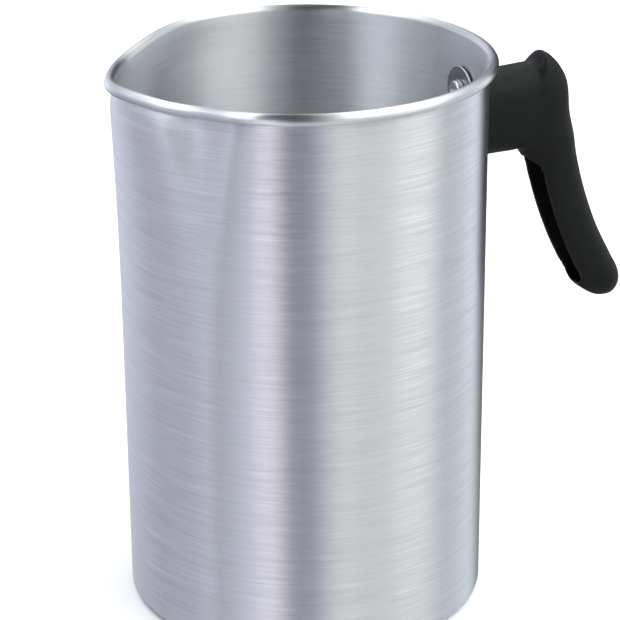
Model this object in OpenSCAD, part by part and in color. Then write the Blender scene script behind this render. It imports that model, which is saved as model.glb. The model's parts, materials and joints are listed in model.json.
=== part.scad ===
// Pouring pot for melting candle wax.
// Origin: centre of the underside of the base. +Z is up, +X points to the handle, -X to the spout.

/* [Pot] */
// Height from the underside of the base to the top of the rim
pot_height = 203.2; // [150:0.1:230]
// Outside diameter of the wall under the rim
top_diameter = 132; // [125:0.5:140]
// Outside diameter of the wall at the base
base_diameter = 130.5; // [122:0.5:138]
// Thickness of the wall
wall = 1; // [0.8:0.1:1.4]
// Thickness of the base
base_thickness = 1.6; // [1:0.1:3]
// Radius of the outer corner between wall and base
corner_radius = 3; // [2.5:0.1:6]
// Outside radius of the rolled rim
bead_radius = 2.13; // [1.9:0.01:2.4]

/* [Spout] */
// How far the tip of the lip reaches past the round rim
spout_reach = 3.5; // [2:0.1:5]
// Half angle of the tip at the rim
tip_angle = 11; // [9:1:16]
// How far the lip's deep flank, on the +Y side, is drawn in
deep_flank = 6.3; // [4:0.1:7]
// Angle from the tip to the middle of the deep flank
deep_angle = 48; // [44:1:52]
// How far the lip's shallow flank, on the -Y side, is drawn in
shallow_flank = 3.4; // [2:0.1:4]
// Angle from the tip to the middle of the shallow flank
shallow_angle = 32; // [29:1:36]
// How far the rim dips beside the tip
rim_dip = 1.4; // [0:0.1:2.5]
// Length down the wall over which the spout fades away
spout_length = 100; // [80:1:120]

/* [Handle] */
// Width of the neck at the pot
neck_width = 21; // [19:0.5:23]
// Width of the grip
grip_width = 17.6; // [16:0.2:19]
// Width of the hollow on the inner side of the grip
channel_width = 13; // [11:0.2:13.4]
// Squareness of the underside, where 2 is an ellipse
squareness = 2.6; // [2.2:0.1:4]
// Squareness of the top of the neck and the back of the grip
upper_squareness = 2.3; // [2:0.1:3]

/* [Fastener] */
// Height of the screw above the base
screw_height = 181.3; // [180:0.1:182]
// Diameter of the screw's shank
screw_diameter = 5; // [4:0.5:5]
// Length of the shank
screw_length = 15; // [13:0.5:15.5]
// Diameter of the screw's head
head_diameter = 8.6; // [8:0.1:9]
// Height of the screw's head
head_height = 1.9; // [1.8:0.1:3]
// Diameter of the flat washer and of its seal
washer_diameter = 18.6; // [16:0.2:20]
// Thickness of the flat washer
washer_thickness = 0.7; // [0.6:0.1:1.2]
// Outside diameter of the lock washer
lock_diameter = 9; // [8.4:0.1:9.6]
// Thickness of the lock washer
lock_thickness = 0.7; // [0.6:0.1:1.1]
// Outside diameter of the threaded insert
insert_diameter = 8; // [7:0.1:8.4]
// Length of the threaded insert
insert_length = 11; // [9:0.5:12]

/* [Hidden] */
$fn = 64;

// Gap left between neighbouring pieces, and the play round the screw
gap = 0.08;
play = 0.3;

segments = 96; // facets round the pot
ring_points = 28; // points round a cut across the handle
row_steps = 2; // rings to each row of the handle's lists
channel_squareness = 5; // nearly flat sides to the hollow in the grip
level_bias = 1.4; // crowds the rings of the wall towards the rim

top_radius = top_diameter / 2;
base_radius = base_diameter / 2;
bead_centre_r = top_radius - wall + bead_radius;
bead_centre_z = pot_height - bead_radius;
curl_inner = bead_radius - wall;
curl_end = -112.5; // where the rolled edge stops, just short of the wall
wall_top = pot_height - 2 * bead_radius;
wall_levels = 7;
deep_spread = 26; // spread of the deep flank at the rim, in degrees
deep_tighten = 6; // how much narrower it is on the wall
shallow_spread = 12;
side_blend = 4; // degrees over which one flank hands over to the other at the tip
dip_angle = 27; // from the tip to the lowest point of each dip
dip_spread = 17;
tip_widen = 18; // how much wider the tip's bulge is on the wall
tip_settle = 0.06; // share of the fade in which it widens

// The wall at the screw, and the faces of the stack clamped against it
wall_at_screw = base_radius + (top_radius - base_radius) * screw_height / pot_height;
inside_at_screw = wall_at_screw - wall;
seal_edge = 0.25; // rubber left at the thin sides of the seal
seal_face = sqrt(pow(inside_at_screw, 2) - pow(washer_diameter / 2, 2)) - seal_edge;
washer_face = seal_face - washer_thickness - gap / 2;
lock_face = washer_face - lock_thickness - gap / 2;
hole_diameter = screw_diameter + 2 * play;
insert_start = wall_at_screw + 1.2;

// ---- shared shapes ----

// A closed skin over a list of rings that all have the same number of points
module skin(rings) {
    per_ring = len(rings[0]);
    last = len(rings) - 1;
    points = [for (ring = rings) for (p = ring) p];
    sides = [
        for (k = [0 : last - 1]) for (j = [0 : per_ring - 1])
            let (n = (j + 1) % per_ring, a = k * per_ring, b = a + per_ring)
            for (f = [[a + j, b + j, b + n], [a + j, b + n, a + n]]) f
    ];
    first_cap = [for (j = [0 : per_ring - 1]) j];
    last_cap = [for (j = [per_ring - 1 : -1 : 0]) last * per_ring + j];
    polyhedron(points = points, faces = concat([first_cap], sides, [last_cap]));
}

// A shape that lies along the screw, whose axis is the X line at screw_height
module on_screw(x) {
    translate([x, 0, screw_height]) rotate([0, 90, 0]) children();
}

// A flat ring
module washer(outer, inner, thickness) {
    difference() {
        cylinder(d = outer, h = thickness);
        translate([0, 0, -1]) cylinder(d = inner, h = thickness + 2);
    }
}

// The space that the pot fills at the handle, grown outward by extra
module pot_solid(extra) {
    cylinder(r1 = base_radius + extra, r2 = top_radius + extra, h = pot_height, $fn = 240);
}

// ---- pot ----

// How far down the fading length of the spout a height lies: 0 at the rim, 1 where it ends
function fade(z) = max(0, min(1, (wall_top - z) / spout_length));
function tip_spread(t) = tip_angle + tip_widen * (1 - exp(-t / tip_settle));
function deep_width(t) = deep_spread - deep_tighten * min(1, 10 * t);
function bell(x, width) = exp(-pow(x / width, 2));
function shallow_share(angle) = 1 / (1 + exp(-angle / side_blend));

// Outward push of the wall and dip of the rim, at a signed angle from the tip
function push(angle, t) = let (away = abs(angle), share = shallow_share(angle)) pow(1 - t, 2)
    * (spout_reach * bell(away, tip_spread(t))
        - (1 - share) * deep_flank * bell(away - deep_angle, deep_width(t))
        - share * shallow_flank * bell(away - shallow_angle, shallow_spread));
function dip(angle, t) = pow(1 - t, 2) * rim_dip * bell(abs(angle) - dip_angle, dip_spread);

function wall_radius(z) = base_radius + (top_radius - base_radius) * z / pot_height;
function arc(cx, cz, r, from, to, steps) =
    [for (i = [0 : steps]) let (a = from + (to - from) * i / steps) [cx + r * cos(a), cz + r * sin(a)]];

levels = [for (i = [0 : wall_levels]) wall_top - spout_length * pow(i / wall_levels, level_bias)];
outside_up = [for (i = [wall_levels : -1 : 0]) [wall_radius(levels[i]), levels[i]]];
inside_down = [for (i = [0 : wall_levels]) [wall_radius(levels[i]) - wall, levels[i]]];

// Section of the pot, from the underside, up the outside, round the rolled rim and down the inside
pot_section = concat(
    arc(base_radius - corner_radius, corner_radius, corner_radius, -90, 0, 3),
    outside_up,
    arc(bead_centre_r, bead_centre_z, curl_inner, 180, curl_end, 6),
    arc(bead_centre_r, bead_centre_z, bead_radius, curl_end, 180, 13),
    inside_down,
    arc(base_radius - corner_radius, corner_radius - wall + base_thickness, corner_radius - wall, 0, -90, 2)
);

function pot_ring(p) =
    [for (j = [0 : segments - 1])
        let (a = 360 * j / segments, t = fade(p[1]), r = p[0] + push(a - 180, t))
        [r * cos(a), r * sin(a), p[1] - dip(a - 180, t)]];

// Drawn aluminium pot with a rolled rim, a pressed spout and one hole for the screw
module pot_body() {
    color("silver") difference() {
        skin([for (p = pot_section) pot_ring(p)]);
        on_screw(inside_at_screw - 3) cylinder(d = hole_diameter, h = 6);
    }
}

// ---- handle ----

// Cuts across the handle: upper edge x and z, lower edge x and z, width, squareness of the lower side
neck_rows = [
    [60, 187.8, 60, 156.5, neck_width, squareness],
    [78, 188, 78, 156.5, neck_width, squareness],
    [89.5, 188.4, 82.6, 156.4, neck_width - 0.5, squareness]
];
thumb_rows = [
    [93.6, 188.8, 84.8, 156.5, neck_width - 0.7, squareness],
    [95.6, 190.9, 86.4, 156.4, neck_width - 1, squareness],
    [98, 192.1, 88, 155.9, neck_width - 1, squareness],
    [102.5, 188.4, 89.3, 154.6, neck_width - 1, squareness],
    [106, 183.1, 90.7, 152.6, neck_width - 1.2, squareness],
    [107.1, 178.4, 91.8, 150.9, neck_width - 1.6, squareness]
];
grip_rows = [
    [107.4, 174, 92.6, 149.5, grip_width + 1.4, squareness],
    [108.2, 168.6, 93.3, 148.1, grip_width + 1, squareness],
    [110.2, 160.7, 94.3, 145.5, grip_width + 0.6, squareness + 0.4],
    [111.9, 151, 95.7, 141.3, grip_width + 0.2, squareness + 0.8],
    [115.7, 137.3, 99.5, 129.6, grip_width, squareness + 1],
    [121.2, 122.8, 104.5, 117, grip_width, squareness + 1],
    [127.7, 110.1, 109.3, 106.8, grip_width, squareness + 0.8],
    [131.5, 103.4, 112.2, 101.9, grip_width - 0.2, squareness + 0.4]
];
tip_rows = [
    [132.6, 99.2, 114.4, 98, grip_width - 1, squareness],
    [132, 96, 117.7, 95.2, grip_width - 3, squareness],
    [130.3, 93.5, 121.2, 93.1, grip_width - 7, squareness],
    [128.2, 92.3, 125, 92.3, grip_width - 13, 2]
];

// The hollow in the grip: its back edge lies inside the grip and its front edge clear of it
channel_rows = [
    [104, 161, 89, 150.7, channel_width - 11.4, channel_squareness - 3],
    [104.2, 160.3, 89.2, 150.1, channel_width - 7.6, channel_squareness - 2.5],
    [104.6, 158.9, 89.6, 148.9, channel_width - 3.9, channel_squareness - 2],
    [105.2, 157, 90.1, 147.2, channel_width - 1.6, channel_squareness - 1],
    [106.2, 153.6, 91, 144.2, channel_width - 0.2, channel_squareness],
    [107.6, 149, 92.4, 139, channel_width, channel_squareness],
    [111.2, 136.2, 96.2, 127.6, channel_width, channel_squareness],
    [116.6, 121.4, 101.2, 115, channel_width, channel_squareness],
    [122.6, 109.8, 105.8, 105.4, channel_width, channel_squareness],
    [125, 105, 107.8, 101.8, channel_width - 0.8, channel_squareness],
    [126.2, 101.8, 109.6, 99.4, channel_width - 3.5, channel_squareness - 1],
    [126.8, 99.8, 111.4, 98, channel_width - 8, channel_squareness - 2]
];

// A smooth curve through a list of rows
function between(p, q, r, s, t) = ((2 * q) + (r - p) * t + (2 * p - 5 * q + 4 * r - s) * t * t
    + (3 * q - p - 3 * r + s) * t * t * t) / 2;
function smooth(rows) = let (n = len(rows) - 1) [
    for (i = [0 : n - 1]) for (k = [0 : row_steps - 1])
        between(rows[max(i - 1, 0)], rows[i], rows[i + 1], rows[min(i + 2, n)], k / row_steps),
    rows[n]
];

function rounded(c, power) = sign(c) * pow(abs(c), 2 / power);

// One closed cut, a rounded oval that stands on its upper and lower edges
function cut(row) = let (
    mid = [(row[0] + row[2]) / 2, (row[1] + row[3]) / 2],
    arm = [(row[0] - row[2]) / 2, (row[1] - row[3]) / 2]
) [for (i = [0 : ring_points - 1])
    let (
        a = 360 * i / ring_points,
        power = cos(a) > 0 ? min(row[5], upper_squareness) : row[5],
        up = rounded(cos(a), power),
        side = rounded(sin(a), power)
    )
    [mid[0] + arm[0] * up, -row[4] / 2 * side, mid[1] + arm[1] * up]];

module loft(rows) {
    skin([for (row = smooth(rows)) cut(row)]);
}

// Moulded handle, saddled to the wall and hollow on the inner side of the grip
module handle() {
    color([0.13, 0.14, 0.15]) difference() {
        loft(concat(neck_rows, thumb_rows, grip_rows, tip_rows));
        loft(channel_rows);
        pot_solid(gap);
        on_screw(insert_start - gap) cylinder(d = insert_diameter + 2 * gap, h = insert_length + 2 * gap);
        on_screw(inside_at_screw) cylinder(d = hole_diameter, h = insert_length + 6);
    }
}

// ---- fastener ----

// Brass insert moulded into the neck, with two grooves that lock it in the plastic
module threaded_insert() {
    groove = 0.6;
    groove_width = 1.2;
    color("goldenrod") on_screw(insert_start) difference() {
        cylinder(d = insert_diameter, h = insert_length);
        translate([0, 0, -1]) cylinder(d = screw_diameter + 0.2, h = insert_length + 2);
        for (share = [1 / 3, 2 / 3])
            translate([0, 0, insert_length * share - groove_width / 2])
                washer(insert_diameter + 2, insert_diameter - 2 * groove, groove_width);
    }
}

// Pan-head screw with a cross recess, driven from inside the pot
module handle_screw() {
    edge = 1.1; // rounding of the head
    recess_width = 1.1;
    recess_length = 4.6;
    recess_depth = 1.1;
    shank_end = 0.5; // chamfer at the end of the shank
    r = head_diameter / 2;
    color("lightgray") on_screw(lock_face - gap / 2) difference() {
        rotate_extrude() union() {
            translate([0, -head_height]) square([r - edge, head_height]);
            translate([0, -head_height + edge]) square([r, head_height - edge]);
            intersection() {
                translate([r - edge, -head_height + edge]) circle(r = edge);
                translate([0, -head_height]) square([r, head_height]);
            }
            square([screw_diameter / 2, screw_length - shank_end]);
            square([screw_diameter / 2 - shank_end, screw_length]);
        }
        for (turn = [0, 90])
            rotate([0, 0, turn + 20])
                translate([-recess_length / 2, -recess_width / 2, -head_height - 1])
                    cube([recess_length, recess_width, recess_depth + 1]);
    }
}

// Split spring washer under the screw's head
module lock_washer() {
    split = 0.8;
    color("gray") on_screw(lock_face) difference() {
        washer(lock_diameter, hole_diameter, lock_thickness);
        rotate([0, 0, 65]) translate([0, -split / 2, -1]) cube([lock_diameter, split, lock_thickness + 2]);
    }
}

// Broad flat washer that spreads the load over the wall
module flat_washer() {
    color("gray") on_screw(washer_face) washer(washer_diameter, hole_diameter, washer_thickness);
}

// Rubber seal squeezed between the flat washer and the round wall
module seal_washer() {
    color([0.1, 0.1, 0.1]) intersection() {
        on_screw(seal_face) washer(washer_diameter - 0.6, hole_diameter, 4);
        pot_solid(-wall - gap);
    }
}

pot_body();
handle();
threaded_insert();
handle_screw();
lock_washer();
flat_washer();
seal_washer();
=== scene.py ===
import json
import math
import bmesh
import bpy
import numpy as np
from mathutils import Matrix, Vector

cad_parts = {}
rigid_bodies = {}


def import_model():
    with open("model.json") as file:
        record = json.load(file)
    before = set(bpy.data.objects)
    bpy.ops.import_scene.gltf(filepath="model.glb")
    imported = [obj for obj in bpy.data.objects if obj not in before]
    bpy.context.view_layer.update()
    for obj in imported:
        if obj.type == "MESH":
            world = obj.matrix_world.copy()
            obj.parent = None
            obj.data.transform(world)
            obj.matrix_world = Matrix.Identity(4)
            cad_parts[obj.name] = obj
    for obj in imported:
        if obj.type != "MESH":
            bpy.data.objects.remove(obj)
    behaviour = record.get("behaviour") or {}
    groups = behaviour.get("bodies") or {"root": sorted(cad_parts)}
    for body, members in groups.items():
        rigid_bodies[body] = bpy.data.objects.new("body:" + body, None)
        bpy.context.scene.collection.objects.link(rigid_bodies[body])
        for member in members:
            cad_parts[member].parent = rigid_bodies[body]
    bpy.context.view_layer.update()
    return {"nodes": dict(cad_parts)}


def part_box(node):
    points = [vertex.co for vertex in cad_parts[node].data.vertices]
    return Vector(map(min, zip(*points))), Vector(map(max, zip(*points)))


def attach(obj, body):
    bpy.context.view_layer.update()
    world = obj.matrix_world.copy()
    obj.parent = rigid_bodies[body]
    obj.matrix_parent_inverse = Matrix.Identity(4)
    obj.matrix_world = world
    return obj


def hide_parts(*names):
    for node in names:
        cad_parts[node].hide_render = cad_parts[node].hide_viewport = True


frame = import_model()
scene = bpy.context.scene
scene.view_settings.view_transform = "Standard"
millimetre = 0.001
print("frame loaded:", ", ".join(sorted(frame["nodes"])))


def addObject(name, mesh):
    piece = bpy.data.objects.new(name, mesh)
    scene.collection.objects.link(piece)
    return piece


def meshOf(name, points, faces=(), edges=()):
    mesh = bpy.data.meshes.new(name)
    mesh.from_pydata(points, edges, faces)
    mesh.update()
    return mesh


def gridFaces(rows, columns, closed=True):
    faces = []
    for row in range(rows - 1):
        for column in range(columns if closed else columns - 1):
            after = (column + 1) % columns
            faces.append((row * columns + column, row * columns + after,
                          (row + 1) * columns + after, (row + 1) * columns + column))
    return faces


def arc(centreX, centreY, radius, start, end, steps):
    angles = [math.radians(start + (end - start) * step / steps) for step in range(steps + 1)]
    return [(centreX + radius * math.cos(angle), centreY + radius * math.sin(angle)) for angle in angles]


def freezeModifiers(piece):
    bpy.context.view_layer.update()
    evaluated = piece.evaluated_get(bpy.context.evaluated_depsgraph_get())
    mesh = bpy.data.meshes.new_from_object(evaluated)
    piece.modifiers.clear()
    piece.data = mesh
    return mesh


def closeUp(mesh, sharpAngle=35.0, mergeWithin=1e-6):
    work = bmesh.new()
    work.from_mesh(mesh)
    bmesh.ops.remove_doubles(work, verts=work.verts, dist=mergeWithin)
    bmesh.ops.dissolve_degenerate(work, dist=mergeWithin / 10, edges=work.edges)
    bmesh.ops.recalc_face_normals(work, faces=work.faces)
    work.to_mesh(mesh)
    work.free()
    mesh.shade_smooth()
    mesh.set_sharp_from_angle(angle=math.radians(sharpAngle))


def cutAway(piece, cutters):
    for cutter in cutters:
        cut = piece.modifiers.new("cut", "BOOLEAN")
        cut.operation = "DIFFERENCE"
        cut.solver = "EXACT"
        cut.object = cutter
    freezeModifiers(piece)
    for cutter in cutters:
        bpy.data.objects.remove(cutter)


def screwAxis():
    low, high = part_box("handle_screw")
    return (low[2] + high[2]) / 2


def rodAlongX(name, radius, startX, endX, height, sides=48):
    points = []
    for x in (startX, endX):
        for side in range(sides):
            angle = 2 * math.pi * side / sides
            points.append((x, radius * math.cos(angle), height + radius * math.sin(angle)))
    faces = gridFaces(2, sides)
    faces.append(tuple(range(sides)))
    faces.append(tuple(range(2 * sides - 1, sides - 1, -1)))
    mesh = meshOf(name, points, faces)
    closeUp(mesh)
    return addObject(name, mesh)


def calc(tree, operation, *values, clamp=False):
    node = tree.nodes.new("ShaderNodeMath")
    node.operation = operation
    node.use_clamp = clamp
    for index, value in enumerate(values):
        if isinstance(value, (int, float)):
            node.inputs[index].default_value = value
        else:
            tree.links.new(value, node.inputs[index])
    return node.outputs[0]


def vectorCalc(tree, operation, first, second=None, scale=None):
    node = tree.nodes.new("ShaderNodeVectorMath")
    node.operation = operation
    for index, value in enumerate((first, second)):
        if value is None:
            continue
        if isinstance(value, tuple):
            node.inputs[index].default_value = value
        else:
            tree.links.new(value, node.inputs[index])
    if scale is not None:
        if isinstance(scale, (int, float)):
            node.inputs["Scale"].default_value = scale
        else:
            tree.links.new(scale, node.inputs["Scale"])
    return node.outputs["Value" if operation in ("LENGTH", "DOT_PRODUCT") else "Vector"]


def place(tree, kind, inputs=None, **settings):
    node = tree.nodes.new(kind)
    for key, value in settings.items():
        setattr(node, key, value)
    for key, value in (inputs or {}).items():
        if isinstance(value, bpy.types.NodeSocket):
            tree.links.new(value, node.inputs[key])
        else:
            node.inputs[key].default_value = value
    return node


def bell(tree, value, width):
    ratio = calc(tree, "DIVIDE", value, width)
    return calc(tree, "EXPONENT", calc(tree, "MULTIPLY", calc(tree, "MULTIPLY", ratio, ratio), -1.0))


def newGeometryTree(name, sizes):
    tree = bpy.data.node_groups.new(name, "GeometryNodeTree")
    tree.interface.new_socket("Geometry", in_out="INPUT", socket_type="NodeSocketGeometry")
    for label, value in sizes.items():
        kind = "NodeSocketInt" if isinstance(value, int) else "NodeSocketFloat"
        socket = tree.interface.new_socket(label, in_out="INPUT", socket_type=kind)
        socket.default_value = value
    tree.interface.new_socket("Material", in_out="INPUT", socket_type="NodeSocketMaterial")
    tree.interface.new_socket("Geometry", in_out="OUTPUT", socket_type="NodeSocketGeometry")
    return tree, tree.nodes.new("NodeGroupInput"), tree.nodes.new("NodeGroupOutput")


def runTree(piece, tree, sizes, material):
    modifier = piece.modifiers.new(tree.name, "NODES")
    modifier.node_group = tree
    for item in tree.interface.items_tree:
        if item.item_type != "SOCKET" or item.in_out != "INPUT":
            continue
        if item.name in sizes:
            modifier[item.identifier] = sizes[item.name]
        elif item.name == "Material":
            modifier[item.identifier] = material
    return freezeModifiers(piece)


def newMaterial(name, **shaderValues):
    material = bpy.data.materials.new(name)
    material.use_nodes = True
    tree = material.node_tree
    shader = tree.nodes["Principled BSDF"]
    for label, value in shaderValues.items():
        shader.inputs[label.replace("_", " ")].default_value = value
    return material, tree, shader


def noise(tree, vector, scale, detail=2.0, roughness=0.5):
    node = place(tree, "ShaderNodeTexNoise", {"Scale": scale, "Detail": detail, "Roughness": roughness})
    tree.links.new(vector, node.inputs["Vector"])
    return node


def spread(tree, value, low, high, outLow, outHigh):
    return place(tree, "ShaderNodeMapRange", {"Value": value, "From Min": low, "From Max": high,
                                              "To Min": outLow, "To Max": outHigh}).outputs["Result"]


def blendColour(tree, factor, first, second, mode="MIX"):
    node = tree.nodes.new("ShaderNodeMix")
    node.data_type = "RGBA"
    node.blend_type = mode
    for socket, value in ((node.inputs[0], factor), (node.inputs[6], first), (node.inputs[7], second)):
        if isinstance(value, bpy.types.NodeSocket):
            tree.links.new(value, socket)
        else:
            socket.default_value = value
    return node.outputs[2]


def startSpin(tree, sizeOf):
    # a grid whose columns go round the axis and whose rows repeat the section line's points
    size = place(tree, "GeometryNodeAttributeDomainSize", {"Geometry": sizeOf["Geometry"]})
    count = size.outputs["Point Count"]
    columns = calc(tree, "ADD", sizeOf["Around"], 1)
    grid = place(tree, "GeometryNodeMeshGrid", {"Vertices X": columns, "Vertices Y": count}).outputs["Mesh"]
    index = place(tree, "GeometryNodeInputIndex").outputs[0]
    column = calc(tree, "FLOOR", calc(tree, "DIVIDE", calc(tree, "ADD", index, 0.5), count))
    step = calc(tree, "SUBTRACT", index, calc(tree, "MULTIPLY", column, count))

    def fromSection(label):
        if label == "position":
            source = place(tree, "GeometryNodeInputPosition")
            kind = "FLOAT_VECTOR"
        else:
            source = place(tree, "GeometryNodeInputNamedAttribute", {"Name": label}, data_type="FLOAT")
            kind = "FLOAT"
        sample = place(tree, "GeometryNodeSampleIndex", {
            "Geometry": sizeOf["Geometry"], "Value": source.outputs[0], "Index": step}, data_type=kind)
        return sample.outputs["Value"]

    spot = place(tree, "ShaderNodeSeparateXYZ", {"Vector": fromSection("position")})
    return grid, fromSection, spot, fromSection("run"), calc(tree, "DIVIDE", column, sizeOf["Around"])


def endSpin(tree, leave, sizeOf, grid, target, share, run):
    mapped = grid
    for label, value in (("share", share), ("runAlong", run)):
        store = place(tree, "GeometryNodeStoreNamedAttribute",
                      {"Geometry": mapped, "Name": label, "Value": value}, data_type="FLOAT", domain="POINT")
        mapped = store.outputs["Geometry"]
    shareAt = place(tree, "GeometryNodeInputNamedAttribute", {"Name": "share"}, data_type="FLOAT").outputs[0]
    runAt = place(tree, "GeometryNodeInputNamedAttribute", {"Name": "runAlong"}, data_type="FLOAT").outputs[0]
    shaped = place(tree, "GeometryNodeSetPosition", {"Geometry": mapped, "Position": target}).outputs[0]
    flatMap = place(tree, "ShaderNodeCombineXYZ", {"X": shareAt, "Y": runAt}).outputs[0]
    wrapped = place(tree, "GeometryNodeStoreNamedAttribute", {
        "Geometry": shaped, "Name": "turnMap", "Value": flatMap}, data_type="FLOAT2", domain="CORNER")
    merged = place(tree, "GeometryNodeMergeByDistance",
                   {"Geometry": wrapped.outputs["Geometry"], "Distance": 1e-6}).outputs[0]
    realized = place(tree, "GeometryNodeRealizeInstances", {"Geometry": merged}).outputs[0]
    painted = place(tree, "GeometryNodeSetMaterial", {"Geometry": realized, "Material": sizeOf["Material"]})
    tree.links.new(painted.outputs[0], leave.inputs["Geometry"])


def sectionLine(name, points, weights=None):
    # the section as a line of points that remembers how far along it each one lies
    line = meshOf(name, points, edges=[(step, step + 1) for step in range(len(points) - 1)])
    travelled = 0.0
    values = {"run": []}
    values.update(weights or {})
    for step, point in enumerate(points):
        if step:
            travelled += (Vector(point) - Vector(points[step - 1])).length
        values["run"].append(travelled)
    for label, numbers in values.items():
        attribute = line.attributes.new(label, "FLOAT", "POINT")
        attribute.data.foreach_set("value", numbers)
    return addObject(name, line)


def dropHelpers(mesh):
    for label in ("share", "runAlong", "run", "rib", "thread"):
        if label in mesh.attributes:
            mesh.attributes.remove(mesh.attributes[label])


cameraSetup = {"distance": 0.887, "height": 0.4658, "azimuth": -25.2, "pitch": 22.013, "yaw": 0.16,
               "roll": -0.435, "lens": 152.87, "sensor": 36.0}


def makeCamera():
    turn = Matrix.Rotation(math.radians(cameraSetup["azimuth"]), 4, "Z")
    pitch = math.radians(cameraSetup["pitch"])
    yaw = math.radians(cameraSetup["yaw"])
    roll = math.radians(cameraSetup["roll"])
    forward = Vector((math.sin(yaw) * math.cos(pitch), math.cos(yaw) * math.cos(pitch), -math.sin(pitch)))
    level = Vector((math.cos(yaw), -math.sin(yaw), 0.0))
    upward = level.cross(forward)
    right = math.cos(roll) * level + math.sin(roll) * upward
    up = -math.sin(roll) * level + math.cos(roll) * upward
    basis = Matrix((right, up, -forward)).transposed().to_4x4()
    spot = Matrix.Translation(Vector((0.0, -cameraSetup["distance"], cameraSetup["height"])))
    camera = bpy.data.cameras.new("studioCamera")
    camera.lens = cameraSetup["lens"]
    camera.sensor_width = cameraSetup["sensor"]
    camera.clip_start = 0.01
    cameraObject = bpy.data.objects.new("studioCamera", camera)
    scene.collection.objects.link(cameraObject)
    cameraObject.matrix_world = turn @ spot @ basis
    scene.camera = cameraObject


makeCamera()
print("camera placed")


aluminiumFinish = {
    "colour": (0.835, 0.845, 0.862, 1.0), "roughness": 0.3, "insideRoughness": 0.42, "anisotropic": 0.97,
    "streakLength": 45.0, "streakFineness": 2600.0, "sideTilt": 0.02, "downTilt": 0.1,
    "darkStreak": 0.87, "brightStreak": 1.08, "broadShare": 0.35,
}


def makeAluminium(insideFrom):
    finish = aluminiumFinish
    material, tree, shader = newMaterial("brushedAluminium", Metallic=1.0, Anisotropic=finish["anisotropic"])
    spotInPot = place(tree, "ShaderNodeTexCoord").outputs["Object"]
    flatMap = place(tree, "ShaderNodeUVMap", uv_map="turnMap").outputs["UV"]
    along = place(tree, "ShaderNodeSeparateXYZ", {"Vector": flatMap}).outputs["Y"]
    where = place(tree, "ShaderNodeSeparateXYZ", {"Vector": spotInPot})

    def streaks(length, fineness, detail, shift):
        joined = place(tree, "ShaderNodeCombineXYZ", {
            "X": calc(tree, "MULTIPLY", where.outputs["X"], length),
            "Y": calc(tree, "MULTIPLY", where.outputs["Y"], length),
            "Z": calc(tree, "MULTIPLY_ADD", along, fineness, shift)}).outputs[0]
        return noise(tree, joined, 1.0, detail, 0.6).outputs["Fac"]

    fine = streaks(finish["streakLength"], finish["streakFineness"], 3.0, 0.0)
    broad = streaks(finish["streakLength"] * 0.5, finish["streakFineness"] * 0.22, 2.0, 31.0)
    sideStreaks = streaks(finish["streakLength"] * 1.4, finish["streakFineness"] * 0.8, 2.0, 77.0)
    both = calc(tree, "ADD", calc(tree, "MULTIPLY", fine, 1 - finish["broadShare"]),
                calc(tree, "MULTIPLY", broad, finish["broadShare"]))
    tone = spread(tree, both, 0.3, 0.7, finish["darkStreak"], finish["brightStreak"])
    colour = vectorCalc(tree, "SCALE", finish["colour"][:3], None, tone)
    tree.links.new(colour, shader.inputs["Base Color"])
    inside = spread(tree, along, insideFrom - millimetre, insideFrom + millimetre,
                    finish["roughness"], finish["insideRoughness"])
    uneven = spread(tree, both, 0.25, 0.75, 0.05, -0.04)
    tree.links.new(calc(tree, "ADD", inside, uneven), shader.inputs["Roughness"])
    tangent = place(tree, "ShaderNodeTangent", direction_type="UV_MAP", uv_map="turnMap").outputs[0]
    normal = place(tree, "ShaderNodeNewGeometry").outputs["Normal"]
    across = vectorCalc(tree, "CROSS_PRODUCT", normal, tangent)
    sideTilt = spread(tree, sideStreaks, 0.2, 0.8, -finish["sideTilt"], finish["sideTilt"])
    downTilt = spread(tree, fine, 0.2, 0.8, -finish["downTilt"], finish["downTilt"])
    sideways = vectorCalc(tree, "SCALE", tangent, None, sideTilt)
    downward = vectorCalc(tree, "SCALE", across, None, downTilt)
    tilted = vectorCalc(tree, "ADD", vectorCalc(tree, "ADD", normal, sideways), downward)
    tree.links.new(vectorCalc(tree, "NORMALIZE", tilted), shader.inputs["Normal"])
    tree.links.new(across, shader.inputs["Tangent"])  # the shine spreads across the brushing
    return material


potShape = {
    "height": 203.2, "topRadius": 66.0, "baseRadius": 65.25, "wall": 1.0, "baseThickness": 1.6,
    "cornerRadius": 3.0, "beadRadius": 2.105, "curlEnd": -112.5, "holeRadius": 2.8, "around": 384,
    "wallRows": 46, "topCrowding": 1.25, "lowRows": 16, "floorRings": 12,
    # the pouring lip: degrees from its middle, and depths in millimetres
    "lipReach": 3.5, "lipAngle": 11.0, "lipLength": 100.0, "tipWiden": 18.0, "tipSettle": 0.06,
    "deepFlank": 6.3, "deepAngle": 48.0, "deepSpread": 26.0, "deepTighten": 6.0,
    "shallowFlank": 3.4, "shallowAngle": 32.0, "shallowSpread": 12.0, "handOver": 4.0,
    "rimDip": 1.4, "dipAngle": 27.0, "dipSpread": 17.0,
}


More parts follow.
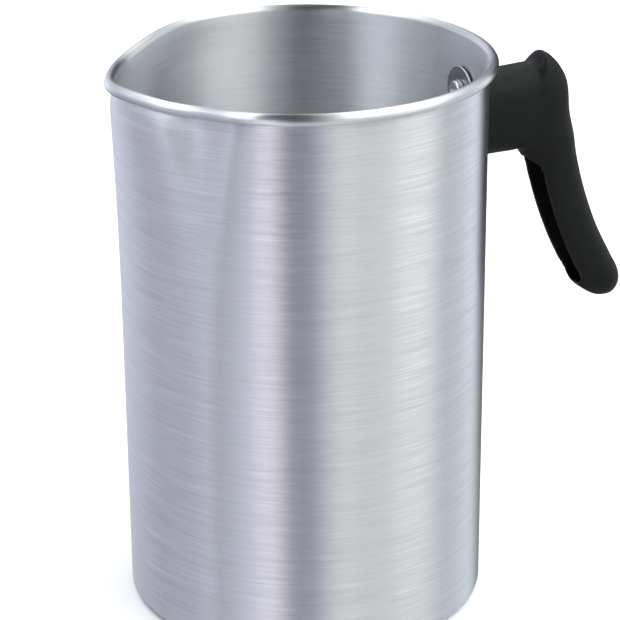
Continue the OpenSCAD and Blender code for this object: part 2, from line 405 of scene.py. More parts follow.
def potSection():
    shape = potShape
    wallTop = shape["height"] - 2 * shape["beadRadius"]
    fadeEnd = wallTop - shape["lipLength"]

    def radiusAt(z):
        return shape["baseRadius"] + (shape["topRadius"] - shape["baseRadius"]) * z / shape["height"]

    heights = [wallTop - (wallTop - fadeEnd) * (step / shape["wallRows"]) ** shape["topCrowding"]
               for step in range(shape["wallRows"] + 1)]
    lowStart = shape["cornerRadius"] - shape["wall"] + shape["baseThickness"] + 1.0
    heights += [fadeEnd - (fadeEnd - lowStart) * step / shape["lowRows"]
                for step in range(1, shape["lowRows"] + 1)]
    cornerCentre = shape["baseRadius"] - shape["cornerRadius"]
    beadR = shape["topRadius"] - shape["wall"] + shape["beadRadius"]
    beadZ = shape["height"] - shape["beadRadius"]
    floorRadii = [cornerCentre * step / shape["floorRings"] for step in range(shape["floorRings"])]
    section = [(radius, 0.0) for radius in floorRadii]
    section += arc(cornerCentre, shape["cornerRadius"], shape["cornerRadius"], -90, 0, 10)
    section += [(radiusAt(z), z) for z in reversed(heights)]
    section += arc(beadR, beadZ, shape["beadRadius"] - shape["wall"], 180, shape["curlEnd"], 20)
    section += arc(beadR, beadZ, shape["beadRadius"], shape["curlEnd"], 180, 39)
    section += [(radiusAt(z) - shape["wall"], z) for z in heights]
    section += arc(cornerCentre, shape["cornerRadius"] - shape["wall"] + shape["baseThickness"],
                   shape["cornerRadius"] - shape["wall"], 0, -90, 8)
    section += [(radius, shape["baseThickness"]) for radius in reversed(floorRadii)]
    return section, wallTop


def makeSpinTree(sizes):
    shape = potShape
    tree, entry, leave = newGeometryTree("potSpin", sizes)
    sizeOf = entry.outputs
    grid, _, spot, run, share = startSpin(tree, sizeOf)
    angle = calc(tree, "MULTIPLY", share, 2 * math.pi)
    signed = calc(tree, "SUBTRACT", calc(tree, "MULTIPLY", share, 360.0), 180.0)
    away = calc(tree, "ABSOLUTE", signed)  # degrees from the middle of the lip
    handedOver = calc(tree, "EXPONENT", calc(tree, "DIVIDE", signed, -shape["handOver"]))
    shallowShare = calc(tree, "DIVIDE", 1.0, calc(tree, "ADD", 1.0, handedOver))
    below = calc(tree, "SUBTRACT", sizeOf["Wall Top"], spot.outputs["Z"])
    fade = calc(tree, "DIVIDE", below, sizeOf["Spout Length"], clamp=True)
    left = calc(tree, "SUBTRACT", 1.0, fade)
    strength = calc(tree, "MULTIPLY", left, left)
    unsettled = calc(tree, "EXPONENT", calc(tree, "DIVIDE", fade, -shape["tipSettle"]))
    tipWidth = calc(tree, "MULTIPLY_ADD", calc(tree, "SUBTRACT", 1.0, unsettled), shape["tipWiden"],
                    sizeOf["Tip Angle"])
    tightened = calc(tree, "MINIMUM", 1.0, calc(tree, "MULTIPLY", fade, 10.0))
    deepWidth = calc(tree, "SUBTRACT", shape["deepSpread"],
                     calc(tree, "MULTIPLY", tightened, shape["deepTighten"]))
    reach = calc(tree, "MULTIPLY", bell(tree, away, tipWidth), sizeOf["Spout Reach"])
    deepest = calc(tree, "MULTIPLY", calc(tree, "SUBTRACT", 1.0, shallowShare), sizeOf["Deep Flank"])
    deep = calc(tree, "MULTIPLY", deepest,
                bell(tree, calc(tree, "SUBTRACT", away, sizeOf["Deep Angle"]), deepWidth))
    shallowest = calc(tree, "MULTIPLY", shallowShare, sizeOf["Shallow Flank"])
    shallow = calc(tree, "MULTIPLY", shallowest,
                   bell(tree, calc(tree, "SUBTRACT", away, sizeOf["Shallow Angle"]), shape["shallowSpread"]))
    push = calc(tree, "MULTIPLY", calc(tree, "SUBTRACT", reach, calc(tree, "ADD", deep, shallow)), strength)
    dip = calc(tree, "MULTIPLY", calc(tree, "MULTIPLY", strength, sizeOf["Rim Dip"]),
               bell(tree, calc(tree, "SUBTRACT", away, shape["dipAngle"]), shape["dipSpread"]))
    radius = calc(tree, "ADD", spot.outputs["X"], push)
    target = place(tree, "ShaderNodeCombineXYZ", {
        "X": calc(tree, "MULTIPLY", radius, calc(tree, "COSINE", angle)),
        "Y": calc(tree, "MULTIPLY", radius, calc(tree, "SINE", angle)),
        "Z": calc(tree, "SUBTRACT", spot.outputs["Z"], dip)}).outputs[0]
    endSpin(tree, leave, sizeOf, grid, target, share, run)
    return tree


def makePot():
    section, wallTop = potSection()
    points = [(radius * millimetre, 0.0, z * millimetre) for radius, z in section]
    pot = sectionLine("potBody", points)
    shape = potShape
    sizes = {
        "Around": shape["around"], "Spout Reach": shape["lipReach"] * millimetre, "Tip Angle": shape["lipAngle"],
        "Deep Flank": shape["deepFlank"] * millimetre, "Deep Angle": shape["deepAngle"],
        "Shallow Flank": shape["shallowFlank"] * millimetre, "Shallow Angle": shape["shallowAngle"],
        "Rim Dip": shape["rimDip"] * millimetre, "Spout Length": shape["lipLength"] * millimetre,
        "Wall Top": wallTop * millimetre,
    }
    insideStart = max(index for index, point in enumerate(points) if point[2] > (wallTop + 0.5) * millimetre)
    material = makeAluminium(pot.data.attributes["run"].data[insideStart].value)
    runTree(pot, makeSpinTree(sizes), sizes, material)
    dropHelpers(pot.data)
    closeUp(pot.data)
    wallX = shape["topRadius"] * millimetre
    reach = 4 * millimetre
    hole = rodAlongX("screwHole", shape["holeRadius"] * millimetre, wallX - reach, wallX + reach, screwAxis())
    cutAway(pot, [hole])
    closeUp(pot.data, mergeWithin=1e-7)
    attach(pot, "root")
    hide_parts("pot_body")
    return pot


pot = makePot()
print("pot body:", len(pot.data.polygons), "faces")


handleShape = {"neckWidth": 21.0, "gripWidth": 17.6, "channelWidth": 13.0, "lowSquareness": 2.6,
               "highSquareness": 2.3, "channelSquareness": 5.0, "around": 96, "between": 10,
               "voxel": 0.45, "soften": 6, "seatGap": 0.08, "boreGap": 0.2,
               "shoulders": {"fromX": 84.0, "toX": 112.0, "fromZ": 151.5, "ridge": 4.0, "rise": 3.0,
                             "ridgeRise": 2.5, "passes": 40},
               "edges": {"fromBend": 0.05, "toBend": 0.11, "passes": 3}}
# the second colour is a painted highlight laid along the handle's sharply bent edges
handlePlastic = {"colour": (0.0022, 0.0026, 0.0028, 1.0), "edgeHighlightColour": (0.05, 0.053, 0.055, 1.0),
                 "roughness": 0.5, "specular": 0.25, "grain": 0.00002}


def handleRows():
    # upper edge x and z, lower edge x and z, width, squareness of the lower side
    neck, grip, low = handleShape["neckWidth"], handleShape["gripWidth"], handleShape["lowSquareness"]
    return [
        (60, 187.8, 60, 156.5, neck, low), (78, 188, 78, 156.5, neck, low),
        (89.5, 188.4, 82.6, 156.4, neck - 0.5, low),
        (93.6, 188.8, 84.8, 156.5, neck - 0.7, low), (95.6, 190.9, 86.4, 156.4, neck - 1, low),
        (98, 192.1, 88, 155.9, neck - 1, low), (102.5, 188.4, 89.3, 154.6, neck - 1, low),
        (106, 183.1, 90.7, 152.6, neck - 1.2, low), (107.1, 178.4, 91.8, 150.9, neck - 1.6, low),
        (107.4, 174, 92.6, 149.5, grip + 1.4, low), (108.2, 168.6, 93.3, 148.1, grip + 1, low),
        (110.2, 160.7, 94.3, 145.5, grip + 0.6, low + 0.4), (111.9, 151, 95.7, 141.3, grip + 0.2, low + 0.8),
        (115.7, 137.3, 99.5, 129.6, grip, low + 1), (121.2, 122.8, 104.5, 117, grip, low + 1),
        (127.7, 110.1, 109.3, 106.8, grip, low + 0.8), (131.4, 103.4, 112.2, 101.9, grip - 0.2, low + 0.4),
        (132.5, 99.2, 114.4, 98, grip - 1, low), (131.9, 96, 117.7, 95.2, grip - 3, low),
        (130.3, 93.5, 121.2, 93.1, grip - 7, low), (128.2, 92.3, 125, 92.3, grip - 13, 2),
    ]


def channelRows():
    wide, square = handleShape["channelWidth"], handleShape["channelSquareness"]
    return [
        (104, 161, 89, 150.7, wide - 11.4, square - 3), (104.2, 160.3, 89.2, 150.1, wide - 7.6, square - 2.5),
        (104.6, 158.9, 89.6, 148.9, wide - 3.9, square - 2),
        (105.2, 157, 90.1, 147.2, wide - 1.6, square - 1), (106.2, 153.6, 91, 144.2, wide - 0.2, square),
        (107.6, 149, 92.4, 139, wide, square), (111.2, 136.2, 96.2, 127.6, wide, square),
        (116.6, 121.4, 101.2, 115, wide, square), (122.6, 109.8, 105.8, 105.4, wide, square),
        (125, 105, 107.8, 101.8, wide - 0.8, square), (126.2, 101.8, 109.6, 99.4, wide - 3.5, square - 1),
        (126.8, 99.8, 111.4, 98, wide - 8, square - 2),
    ]


def smoothRows(rows, steps):
    rows = [Vector(row) for row in rows]
    last = len(rows) - 1
    result = []
    for index in range(last):
        before = rows[max(index - 1, 0)]
        start = rows[index]
        end = rows[index + 1]
        after = rows[min(index + 2, last)]
        for step in range(steps):
            t = step / steps
            bend = 2 * before - 5 * start + 4 * end - after
            turn = 3 * start - before - 3 * end + after
            result.append((2 * start + (end - before) * t + bend * t ** 2 + turn * t ** 3) / 2)
    result.append(rows[last])
    return result


def rounded(value, power):
    return math.copysign(abs(value) ** (2 / power), value)


def loft(name, rows):
    around = handleShape["around"]
    points = []
    for highX, highZ, lowX, lowZ, width, square in rows:
        midX, midZ = (highX + lowX) / 2, (highZ + lowZ) / 2
        armX, armZ = (highX - lowX) / 2, (highZ - lowZ) / 2
        for side in range(around):
            angle = 2 * math.pi * side / around
            power = min(square, handleShape["highSquareness"]) if math.cos(angle) > 0 else square
            up = rounded(math.cos(angle), power)
            out = width / 2 * rounded(math.sin(angle), power)
            points.append(((midX + armX * up) * millimetre, out * millimetre, (midZ + armZ * up) * millimetre))
    faces = gridFaces(len(rows), around)
    faces.append(tuple(range(around)))
    faces.append(tuple(range(len(points) - 1, len(points) - around - 1, -1)))
    mesh = meshOf(name, points, faces)
    closeUp(mesh)
    return addObject(name, mesh)


def makePlastic():
    finish = handlePlastic
    material, tree, shader = newMaterial("blackMoulding", Roughness=finish["roughness"])
    shader.inputs["Specular IOR Level"].default_value = finish["specular"]
    where = place(tree, "ShaderNodeTexCoord").outputs["Object"]
    mottle = noise(tree, where, 60.0, 3.0, 0.55).outputs["Fac"]
    grain = noise(tree, where, 2600.0, 2.0, 0.6).outputs["Fac"]
    scuff = noise(tree, where, 240.0, 4.0, 0.65).outputs["Fac"]
    tone = spread(tree, mottle, 0.3, 0.7, 0.85, 1.2)
    body = vectorCalc(tree, "SCALE", finish["colour"][:3], None, tone)
    # painted highlight: the plastic's colour is lightened along the sharply bent edges, standing in for the
    # light line those edges catch, broken up by the scuff noise
    edgeLightShare = place(tree, "ShaderNodeAttribute", attribute_name="edgeHighlight").outputs["Fac"]
    edgeLightShare = calc(tree, "MULTIPLY", edgeLightShare, spread(tree, scuff, 0.3, 0.7, 0.6, 1.0))
    tree.links.new(blendColour(tree, edgeLightShare, body, finish["edgeHighlightColour"]), shader.inputs["Base Color"])
    rough = calc(tree, "ADD", spread(tree, scuff, 0.3, 0.7, -0.05, 0.06), finish["roughness"])
    tree.links.new(rough, shader.inputs["Roughness"])
    bump = place(tree, "ShaderNodeBump", {"Strength": 0.35, "Distance": finish["grain"], "Height": grain})
    tree.links.new(bump.outputs["Normal"], shader.inputs["Normal"])
    return material


def potCutter():
    # the outside of the wall, which the end of the neck is saddled to
    sides = 512
    points = []
    for z, radius in ((0.0, potShape["baseRadius"]), (potShape["height"], potShape["topRadius"])):
        radius = (radius + handleShape["seatGap"]) * millimetre
        for side in range(sides):
            angle = 2 * math.pi * side / sides
            points.append((radius * math.cos(angle), radius * math.sin(angle), z * millimetre))
    faces = gridFaces(2, sides)
    faces.append(tuple(range(sides - 1, -1, -1)))
    faces.append(tuple(range(sides, 2 * sides)))
    mesh = meshOf("wallCutter", points, faces)
    closeUp(mesh)
    return addObject("wallCutter", mesh)


def markEdges(mesh):
    # how sharply the skin bends outwards at each point, evened out a little: the mask for the painted highlight
    # laid along the edges
    edges = handleShape["edges"]
    count = len(mesh.vertices)
    spots = np.empty(count * 3)
    normals = np.empty(count * 3)
    ends = np.empty(len(mesh.edges) * 2, dtype=int)
    mesh.vertices.foreach_get("co", spots)
    mesh.vertices.foreach_get("normal", normals)
    mesh.edges.foreach_get("vertices", ends)
    spots, normals, ends = spots.reshape(-1, 3), normals.reshape(-1, 3), ends.reshape(-1, 2)
    neighbours = np.bincount(ends.ravel(), minlength=count)

    def meanOfNeighbours(values):
        total = np.bincount(ends[:, 0], values[ends[:, 1]], count)
        total = total + np.bincount(ends[:, 1], values[ends[:, 0]], count)
        return total / np.maximum(neighbours, 1)

    centre = np.stack([meanOfNeighbours(spots[:, axis]) for axis in range(3)], axis=1)
    bend = ((spots - centre) * normals).sum(axis=1) / (handleShape["voxel"] * millimetre)
    for _ in range(edges["passes"]):
        bend = (bend + meanOfNeighbours(bend)) / 2
    # painted highlight: the share of lightened edge colour at each point
    edgeLight = np.clip((bend - edges["fromBend"]) / (edges["toBend"] - edges["fromBend"]), 0.0, 1.0)
    mesh.attributes.new("edgeHighlight", "FLOAT", "POINT").data.foreach_set("value", edgeLight)


def easeShoulders(handle):
    # the flanks where the neck turns into the grip are blended, away from the middle ridge
    ease = handleShape["shoulders"]

    def ramp(distance, width):
        return min(1.0, max(0.0, distance / width))

    group = handle.vertex_groups.new(name="shoulders")
    for point in handle.data.vertices:
        x, y, z = (value / millimetre for value in point.co)
        inX = ramp(x - ease["fromX"], ease["rise"]) * ramp(ease["toX"] - x, ease["rise"])
        inZ = ramp(z - ease["fromZ"], ease["rise"])
        weight = inX * inZ * ramp(abs(y) - ease["ridge"], ease["ridgeRise"])
        if weight > 0:
            group.add([point.index], weight, "REPLACE")
    blend = handle.modifiers.new("blendShoulders", "SMOOTH")
    blend.factor = 0.5
    blend.iterations = ease["passes"]
    blend.vertex_group = "shoulders"
    freezeModifiers(handle)
    handle.vertex_groups.clear()


def makeHandle(material):
    handle = loft("handle", smoothRows(handleRows(), handleShape["between"]))
    channel = loft("channel", smoothRows(channelRows(), handleShape["between"]))
    insertLow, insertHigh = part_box("threaded_insert")
    insertRadius = (insertHigh[2] - insertLow[2]) / 2
    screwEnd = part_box("handle_screw")[1][0]
    gap = handleShape["boreGap"] * millimetre
    pocket = rodAlongX("pocket", insertRadius + gap, insertLow[0] - gap, insertHigh[0] + gap, screwAxis())
    drill = rodAlongX("drill", potShape["holeRadius"] * millimetre, insertLow[0] - 4 * millimetre,
                      screwEnd + 2 * millimetre, screwAxis())
    cutAway(handle, [channel, potCutter(), pocket, drill])
    remesh = handle.modifiers.new("evenSkin", "REMESH")
    remesh.mode = "VOXEL"
    remesh.voxel_size = handleShape["voxel"] * millimetre
    soften = handle.modifiers.new("soften", "SMOOTH")
    soften.factor = 0.5
    soften.iterations = handleShape["soften"]
    freezeModifiers(handle)
    easeShoulders(handle)
    markEdges(handle.data)
    handle.data.shade_smooth()
    handle.data.materials.clear()
    handle.data.materials.append(material)
    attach(handle, "root")
    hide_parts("handle")
    return handle


handle = makeHandle(makePlastic())
print("handle:", len(handle.data.polygons), "faces")


def makeTurnTree():
    sizes = {"Around": 96, "Axis Height": 0.18, "Rib Count": 24.0, "Rib Depth": 0.0002,
             "Thread Pitch": 0.0008, "Thread Depth": 0.0005}
    tree, entry, leave = newGeometryTree("turnOnScrew", sizes)
    sizeOf = entry.outputs
    grid, fromSection, spot, run, share = startSpin(tree, sizeOf)
    angle = calc(tree, "MULTIPLY", share, 2 * math.pi)
    ribWave = calc(tree, "SINE", calc(tree, "MULTIPLY", angle, sizeOf["Rib Count"]))
    ribShare = calc(tree, "MULTIPLY_ADD", ribWave, 0.5, 0.5)
    rib = calc(tree, "MULTIPLY", calc(tree, "MULTIPLY", ribShare, sizeOf["Rib Depth"]), fromSection("rib"))
    turns = calc(tree, "SUBTRACT", calc(tree, "DIVIDE", spot.outputs["X"], sizeOf["Thread Pitch"]), share)
    groove = calc(tree, "MULTIPLY", calc(tree, "PINGPONG", turns, 0.5), 2.0)
    cut = calc(tree, "MULTIPLY", groove, sizeOf["Thread Depth"])
    thread = calc(tree, "MULTIPLY", cut, fromSection("thread"))
    radius = calc(tree, "SUBTRACT", spot.outputs["Z"], calc(tree, "ADD", rib, thread))
    target = place(tree, "ShaderNodeCombineXYZ", {
        "X": spot.outputs["X"], "Y": calc(tree, "MULTIPLY", radius, calc(tree, "COSINE", angle)),
        "Z": calc(tree, "MULTIPLY_ADD", radius, calc(tree, "SINE", angle), sizeOf["Axis Height"])}).outputs[0]
    endSpin(tree, leave, sizeOf, grid, target, share, run)
    return tree


turnTree = makeTurnTree()


def turned(name, outline, material, rib=None, thread=None, **sizes):
    # outline: points (x, radius); rib and thread say how strongly each point takes them
    points = [(x, 0.0, radius) for x, radius in outline]
    nothing = [0.0] * len(points)
    piece = sectionLine(name, points, {"rib": rib or nothing, "thread": thread or nothing})
    values = {"Axis Height": screwAxis()}
    values.update(sizes)
    runTree(piece, turnTree, values, material)
    dropHelpers(piece.data)
    closeUp(piece.data, mergeWithin=1e-7)
    return piece


def finishPiece(piece, node):
    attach(piece, "root")
    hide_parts(node)
    print(piece.name + ":", len(piece.data.polygons), "faces")
    return piece


def roundedRing(lowX, highX, inner, outer, corner, steps=5):
    outline = []
    for x, radius, start in ((highX - corner, outer - corner, 90), (lowX + corner, outer - corner, 180),
                             (lowX + corner, inner + corner, 270), (highX - corner, inner + corner, 360)):
        for step in range(steps + 1):
            angle = math.radians(start - 90 + 90 * step / steps)
            outline.append((x + corner * math.cos(angle), radius + corner * math.sin(angle)))
    return outline + [outline[0]]


steelFinishes = {
    "plated": {"colour": (0.74, 0.745, 0.76, 1.0), "roughness": 0.2, "streak": 0.5},
    # the washer's rim values set a painted highlight on its outer edge
    "washer": {"colour": (0.42, 0.425, 0.44, 1.0), "roughness": 0.34, "streak": 0.8,
               "rimFrom": 0.3, "rimTo": 0.1, "rimHighlightTone": 2.0},
    "spring": {"colour": (0.60, 0.605, 0.62, 1.0), "roughness": 0.26, "streak": 0.4},
    "brass": {"colour": (0.80, 0.58, 0.27, 1.0), "roughness": 0.3, "streak": 0.4},
}


def makeSteel(kind, paintedRimRadius=None):
    finish = steelFinishes[kind]
    material, tree, shader = newMaterial(kind + "Metal", Metallic=1.0, Anisotropic=0.3)
    where = place(tree, "ShaderNodeTexCoord").outputs["Object"]
    flatMap = place(tree, "ShaderNodeUVMap", uv_map="turnMap").outputs["UV"]
    split = place(tree, "ShaderNodeSeparateXYZ", {"Vector": flatMap})
    rings = place(tree, "ShaderNodeCombineXYZ", {
        "X": calc(tree, "MULTIPLY", split.outputs["X"], 6.0),
        "Y": calc(tree, "MULTIPLY", split.outputs["Y"], 9000.0)}).outputs[0]
    turningMarks = noise(tree, rings, 1.0, 2.0).outputs["Fac"]
    blotches = noise(tree, where, 900.0, 3.0).outputs["Fac"]
    marked = calc(tree, "ADD", calc(tree, "MULTIPLY", turningMarks, finish["streak"]),
                  calc(tree, "MULTIPLY", blotches, 1 - finish["streak"]))
    tone = spread(tree, marked, 0.3, 0.7, 0.86, 1.1)
    if paintedRimRadius:
        # painted highlight: the colour brightens towards the disc's outer rim, standing in for the bright edge
        # line the rim catches
        fromAxis = vectorCalc(tree, "SUBTRACT", where, (0.0, 0.0, screwAxis()))
        radius = vectorCalc(tree, "LENGTH", vectorCalc(tree, "MULTIPLY", fromAxis, (0.0, 1.0, 1.0)))
        rim = spread(tree, radius, paintedRimRadius - finish["rimFrom"] * millimetre,
                     paintedRimRadius - finish["rimTo"] * millimetre, 1.0, finish["rimHighlightTone"])
        tone = calc(tree, "MULTIPLY", tone, rim)
    tree.links.new(vectorCalc(tree, "SCALE", finish["colour"][:3], None, tone), shader.inputs["Base Color"])
    rough = spread(tree, blotches, 0.3, 0.7, finish["roughness"] - 0.05, finish["roughness"] + 0.07)
    tree.links.new(rough, shader.inputs["Roughness"])
    bump = place(tree, "ShaderNodeBump", {"Strength": 0.25, "Distance": 0.00003, "Height": turningMarks})
    tree.links.new(bump.outputs["Normal"], shader.inputs["Normal"])
    tangent = place(tree, "ShaderNodeTangent", direction_type="UV_MAP", uv_map="turnMap").outputs[0]
    tree.links.new(tangent, shader.inputs["Tangent"])
    return material


sealDetail = {"colour": (0.022, 0.022, 0.023), "roughness": 0.7, "bulge": 0.00008,
              "around": 160, "across": 18}


def makeRubber():
    material, tree, shader = newMaterial("sealRubber", Roughness=sealDetail["roughness"])
    where = place(tree, "ShaderNodeTexCoord").outputs["Object"]
    dust = noise(tree, where, 1500.0, 3.0).outputs["Fac"]
    tone = spread(tree, dust, 0.3, 0.7, 0.7, 1.3)
    tree.links.new(vectorCalc(tree, "SCALE", sealDetail["colour"], None, tone), shader.inputs["Base Color"])
    bump = place(tree, "ShaderNodeBump", {"Strength": 0.4, "Distance": 0.00004, "Height": dust})
    tree.links.new(bump.outputs["Normal"], shader.inputs["Normal"])
    return material


washerDetail = {"corner": 0.00024, "around": 160}


def makeFlatWasher():
    low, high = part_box("flat_washer")
    outer = (high[1] - low[1]) / 2
    outline = roundedRing(low[0], high[0], potShape["holeRadius"] * millimetre, outer, washerDetail["corner"])
    washer = turned("flatWasher", outline, makeSteel("washer", outer), Around=washerDetail["around"])
    return finishPiece(washer, "flat_washer")


def makeSealWasher():
    # its back follows the round wall, and its rim bulges a little where it is squeezed
    low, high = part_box("seal_washer")
    outer = (high[1] - low[1]) / 2
    inner = potShape["holeRadius"] * millimetre
    axis = screwAxis()
    taper = (potShape["topRadius"] - potShape["baseRadius"]) * axis / millimetre / potShape["height"]
    wallRadius = potShape["baseRadius"] + taper - potShape["wall"] - handleShape["seatGap"]
    wallRadius = wallRadius * millimetre
    bulge = outer + sealDetail["bulge"]
    around, across = sealDetail["around"], sealDetail["across"]
    points = []
    for side in range(around):
        angle = 2 * math.pi * side / around
        for face in range(2):
            for step in range(across + 1):
                share = step / across if face == 0 else 1 - step / across
                radius = inner + (outer - inner) * share
                y, z = radius * math.cos(angle), radius * math.sin(angle)
                x = low[0] if face == 0 else math.sqrt(wallRadius ** 2 - y ** 2)
                points.append((x, y, axis + z))
            if face == 0:
                y, z = bulge * math.cos(angle), bulge * math.sin(angle)
                points.append(((low[0] + math.sqrt(wallRadius ** 2 - y ** 2)) / 2, y, axis + z))
    perSide = len(points) // around
    faces = []
    for side in range(around):
        after = (side + 1) % around
        for step in range(perSide):
            following = (step + 1) % perSide
            faces.append((side * perSide + step, side * perSide + following,
                          after * perSide + following, after * perSide + step))
    mesh = meshOf("sealWasher", points, faces)
    closeUp(mesh, mergeWithin=1e-7)
    mesh.materials.append(makeRubber())
    return finishPiece(addObject("sealWasher", mesh), "seal_washer")


lockDetail = {"corner": 0.00016, "spring": 0.00006, "splitAngle": 65.0, "splitGap": 0.0008, "around": 120}


def makeLockWasher():
    # a coil of one turn, whose two ends stand slightly apart
    detail = lockDetail
    low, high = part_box("lock_washer")
    outer = (high[1] - low[1]) / 2
    spring = detail["spring"]
    section = roundedRing(low[0] + spring, high[0] - spring, potShape["holeRadius"] * millimetre, outer,
                          detail["corner"], 3)[:-1]
    axis = screwAxis()
    half = math.degrees(detail["splitGap"] / outer) / 2 + 1.5
    around = detail["around"]
    points = []
    for side in range(around + 1):
        share = side / around
        angle = math.radians(detail["splitAngle"] + half + (360 - 2 * half) * share)
        for step, (x, radius) in enumerate(section):
            lift = spring * (2 * share - 1)
            points.append((x + lift, radius * math.cos(angle), axis + radius * math.sin(angle)))
    count = len(section)
    faces = gridFaces(around + 1, count)
    faces.append(tuple(range(count)))
    faces.append(tuple(range(len(points) - 1, len(points) - count - 1, -1)))
    mesh = meshOf("lockWasher", points, faces)
    flatMap = mesh.uv_layers.new(name="turnMap")
    for loop in mesh.loops:
        side, step = divmod(loop.vertex_index, count)
        flatMap.data[loop.index].uv = (side / around, step * 0.0005)
    closeUp(mesh, mergeWithin=1e-7)
    mesh.materials.append(makeSteel("spring"))
    return finishPiece(addObject("lockWasher", mesh), "lock_washer")


screwDetail = {"headCorner": 0.0011, "crown": 0.00012, "recessWidth": 0.0011, "recessLength": 0.0046,
               "recessDepth": 0.0011, "recessTurn": 20.0, "recessMouth": (1.12, 1.08),
               "recessBottom": (0.5, 0.7), "shankRadius": 0.0025, "threadPitch": 0.0008,
               "threadDepth": 0.00043, "around": 72}


def recessWing(turn, headTop, axis):
    detail = screwDetail
    mouthX = headTop - 0.6 * millimetre
    points = []
    for x, share in ((mouthX, detail["recessMouth"]), (headTop + detail["recessDepth"], detail["recessBottom"])):
        length, width = detail["recessLength"] * share[0], detail["recessWidth"] * share[1]
        for y, z in ((-1, -1), (1, -1), (1, 1), (-1, 1)):
            y, z = y * length / 2, z * width / 2
            angle = math.radians(detail["recessTurn"] + turn)
            points.append((x, y * math.cos(angle) - z * math.sin(angle),
                           axis + y * math.sin(angle) + z * math.cos(angle)))
    faces = [(0, 1, 2, 3), (7, 6, 5, 4)] + gridFaces(2, 4)
    mesh = meshOf("recessWing", points, faces)
    closeUp(mesh)
    return addObject("recessWing", mesh)


def makeScrew():
    detail = screwDetail
    low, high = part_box("handle_screw")
    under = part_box("lock_washer")[0][0] - 0.00004
    headRadius = (high[1] - low[1]) / 2
    corner = detail["headCorner"]
    shank = detail["shankRadius"]
    axis = screwAxis()
    crown = detail["crown"]  # the face of the head is slightly domed
    dome = [(low[0] + crown * (step / 8) ** 2, (headRadius - corner) * step / 8) for step in range(9)]
    bend = [(low[0] + crown + (corner - crown) * (1 - math.cos(math.radians(angle))),
             headRadius - corner + corner * math.sin(math.radians(angle))) for angle in range(10, 91, 10)]
    edge = [(under - 0.00022, headRadius), (under - 0.00008, headRadius - 0.00005)]
    edge.append((under, headRadius - 0.00018))
    fillet = [(under, shank + 0.0003), (under + 0.00008, shank + 0.0001), (under + 0.00025, shank)]
    outline = dome + bend + edge + fillet
    thread = [0.0] * len(outline)
    start, end = under + 0.00025, high[0] - 0.0006
    steps = int((end - start) / detail["threadPitch"] * 10)
    for step in range(1, steps + 1):
        outline.append((start + (end - start) * step / steps, shank))
        thread.append(min(1.0, max(0.0, (step - 8) / 12)))
    outline += [(high[0] - 0.0002, shank - 0.0006), (high[0], shank - 0.001), (high[0], 0.0)]
    thread += [0.5, 0.0, 0.0]
    screw = turned("handleScrew", outline, makeSteel("plated"), thread=thread, Around=detail["around"],
                   **{"Thread Pitch": detail["threadPitch"], "Thread Depth": detail["threadDepth"]})
    cutAway(screw, [recessWing(0, low[0], axis)])
    cutAway(screw, [recessWing(90, low[0], axis)])
    closeUp(screw.data, mergeWithin=1e-7)
    return finishPiece(screw, "handle_screw")


insertDetail = {"knurlRibs": 28.0, "knurlDepth": 0.00022, "groove": 0.0006, "chamfer": 0.0003,
                "boreGap": 0.0001, "around": 168}


def makeInsert():
    detail = insertDetail
    low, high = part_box("threaded_insert")
    outer = (high[2] - low[2]) / 2
    bore = screwDetail["shankRadius"] + detail["boreGap"]
    length = high[0] - low[0]
    groove, chamfer = detail["groove"], detail["chamfer"]
    outline, rib = [(low[0], bore + chamfer), (low[0], outer - chamfer)], [0.0, 0.0]
    edges = [0.0, 1 / 3, 1 / 3, 2 / 3, 2 / 3, 1.0]
    for band in range(3):
        start = low[0] + length * edges[2 * band] + (groove if band else chamfer)
        end = low[0] + length * edges[2 * band + 1] - (groove if band < 2 else chamfer)
        for step in range(9):
            outline.append((start + (end - start) * step / 8, outer))
            rib.append(0.0 if step in (0, 8) else 1.0)
        if band < 2:
            outline += [(end, outer - groove), (end + 2 * groove, outer - groove)]
            rib += [0.0, 0.0]
    outline += [(high[0], outer - chamfer), (high[0], bore + chamfer), (high[0] - chamfer, bore),
                (low[0] + chamfer, bore), (low[0], bore + chamfer)]
    rib += [0.0] * 5
    insert = turned("threadedInsert", outline, makeSteel("brass"), rib=rib, Around=detail["around"],
                    **{"Rib Count": detail["knurlRibs"], "Rib Depth": detail["knurlDepth"]})
    return finishPiece(insert, "threaded_insert")


makeFlatWasher()
makeSealWasher()
makeLockWasher()
makeScrew()
makeInsert()


studio = {"floorColour": (0.95, 0.94, 0.93, 1.0), "floorRoughness": 0.6, "floorSize": 8.0,
          "overhead": 1.5, "overheadSpread": 100.0, "bounces": 14, "ceiling": 1.7, "fanCentre": 0.95,
          "wallsFrom": -0.55, "wallsTo": -0.15, "ceilingFrom": 0.18, "ceilingTo": 0.48}
tints = {"cool": (0.935, 0.96, 1.11), "violet": (0.99, 0.965, 1.045), "plain": (0.98, 1.01, 1.005),
         "sky": (0.94, 0.995, 1.06)}
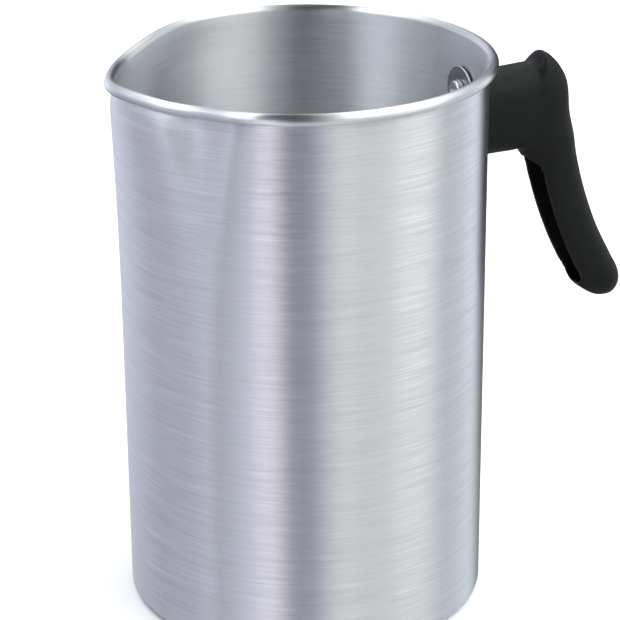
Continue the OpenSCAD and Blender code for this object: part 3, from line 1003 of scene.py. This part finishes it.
# compass angle from the camera, positive to its right; brightness level with the pot, brightness lower down
surroundings = [
    (-180, 0.30, 0.45, "cool"), (-156, 1.00, 0.20, "cool"), (-138, 1.04, 0.22, "cool"),
    (-120, 0.90, 0.30, "cool"), (-100, 0.60, 0.41, "cool"), (-78, 0.52, 0.42, "cool"),
    (-59, 0.60, 0.50, "cool"), (-57, 0.22, 0.51, "cool"), (-51, 0.20, 0.60, "cool"),
    (-43, 0.26, 0.78, "cool"), (-36, 0.42, 0.82, "cool"), (-28, 0.92, 0.94, "violet"),
    (-20, 0.92, 0.98, "violet"), (-13, 0.44, 0.78, "violet"), (-8, 0.13, 0.60, "cool"),
    (0, 0.11, 0.60, "cool"), (6, 0.20, 0.62, "cool"), (11, 0.42, 0.68, "cool"),
    (18, 0.64, 0.74, "plain"), (25, 0.72, 0.76, "plain"), (38, 0.42, 0.68, "plain"),
    (52, 0.56, 0.66, "plain"), (64, 1.06, 0.62, "plain"), (78, 1.30, 0.42, "plain"),
    (87, 1.00, 0.34, "plain"), (96, 0.60, 0.46, "sky"), (112, 0.66, 0.60, "sky"),
    (128, 0.98, 0.78, "sky"), (136, 1.00, 0.80, "sky"), (142, 0.06, 0.50, "sky"),
    (170, 0.04, 0.30, "sky"),
]
# overhead the bands fan out from behind the pot: angle from the middle, brightness
ceilingBands = [
    (-180, 0.32, "sky"), (-90, 0.35, "sky"), (-66, 0.38, "sky"), (-50, 0.43, "sky"),
    (-36, 0.76, "sky"), (-31, 1.15, "sky"), (-26, 1.40, "sky"), (-21, 1.30, "sky"),
    (-18, 0.80, "sky"), (-15.5, 0.16, "sky"), (-11, 0.05, "sky"), (-5, 0.045, "sky"),
    (1, 0.05, "sky"), (4, 0.12, "plain"), (8, 0.32, "plain"), (12, 0.60, "plain"),
    (16, 1.30, "plain"), (22, 1.56, "plain"), (33, 1.30, "plain"), (41, 1.00, "plain"),
    (51, 0.62, "plain"), (66, 0.36, "sky"), (90, 0.30, "sky"),
]


def bandRamp(tree, share, bands):
    ramp = place(tree, "ShaderNodeValToRGB", {"Fac": share})
    stops = ramp.color_ramp.elements
    while len(stops) > 1:
        stops.remove(stops[-1])
    for index, (angle, brightness, tint) in enumerate(bands):
        stop = stops[0] if index == 0 else stops.new((angle + 180) / 360)
        stop.position = (angle + 180) / 360
        stop.color = (*(brightness * part for part in tints[tint]), 1.0)
    return ramp.outputs["Color"]


def angleShare(tree, side, front):
    return calc(tree, "MULTIPLY_ADD", calc(tree, "ARCTAN2", side, front), 1 / (2 * math.pi), 0.5)


def makeWorld():
    world = bpy.data.worlds.new("studio")
    scene.world = world
    world.use_nodes = True
    tree = world.node_tree
    background = tree.nodes["Background"]
    direction = place(tree, "ShaderNodeTexCoord").outputs["Generated"]
    towardsCamera = math.radians(90 - cameraSetup["azimuth"])
    facing = place(tree, "ShaderNodeVectorRotate", {"Vector": direction, "Angle": towardsCamera},
                   rotation_type="Z_AXIS").outputs[0]
    parts = place(tree, "ShaderNodeSeparateXYZ", {"Vector": facing})
    front, side, up = (parts.outputs[label] for label in "XYZ")
    compass = angleShare(tree, side, front)
    fan = angleShare(tree, side, calc(tree, "ADD", front, studio["fanCentre"]))
    level = bandRamp(tree, compass, [(angle, high, tint) for angle, high, low, tint in surroundings])
    ground = bandRamp(tree, compass, [(angle, low, tint) for angle, high, low, tint in surroundings])
    ceiling = vectorCalc(tree, "SCALE", bandRamp(tree, fan, ceilingBands), None, studio["ceiling"])
    wallShare = spread(tree, up, studio["wallsFrom"], studio["wallsTo"], 0.0, 1.0)
    ceilingShare = spread(tree, up, studio["ceilingFrom"], studio["ceilingTo"], 0.0, 1.0)
    walls = blendColour(tree, wallShare, ground, level)
    mixed = blendColour(tree, ceilingShare, walls, ceiling)
    tree.links.new(mixed, background.inputs["Color"])


def makeOverhead():
    # lights the floor and soft shadows without showing in the metal
    sun = bpy.data.lights.new("overhead", "SUN")
    sun.energy = studio["overhead"]
    sun.angle = math.radians(studio["overheadSpread"])
    sunObject = bpy.data.objects.new("overhead", sun)
    scene.collection.objects.link(sunObject)
    sunObject.visible_glossy = False


def makeFloor():
    half = studio["floorSize"] / 2
    corners = [(-half, -half, 0), (half, -half, 0), (half, half, 0), (-half, half, 0)]
    mesh = meshOf("floor", corners, [(0, 1, 2, 3)])
    material, _, shader = newMaterial("paleFloor", Roughness=studio["floorRoughness"])
    shader.inputs["Base Color"].default_value = studio["floorColour"]
    mesh.materials.append(material)
    floor = addObject("floor", mesh)
    floor.visible_glossy = False


makeWorld()
makeOverhead()
makeFloor()
scene.cycles.max_bounces = studio["bounces"]
scene.cycles.glossy_bounces = studio["bounces"]
print("studio ready")
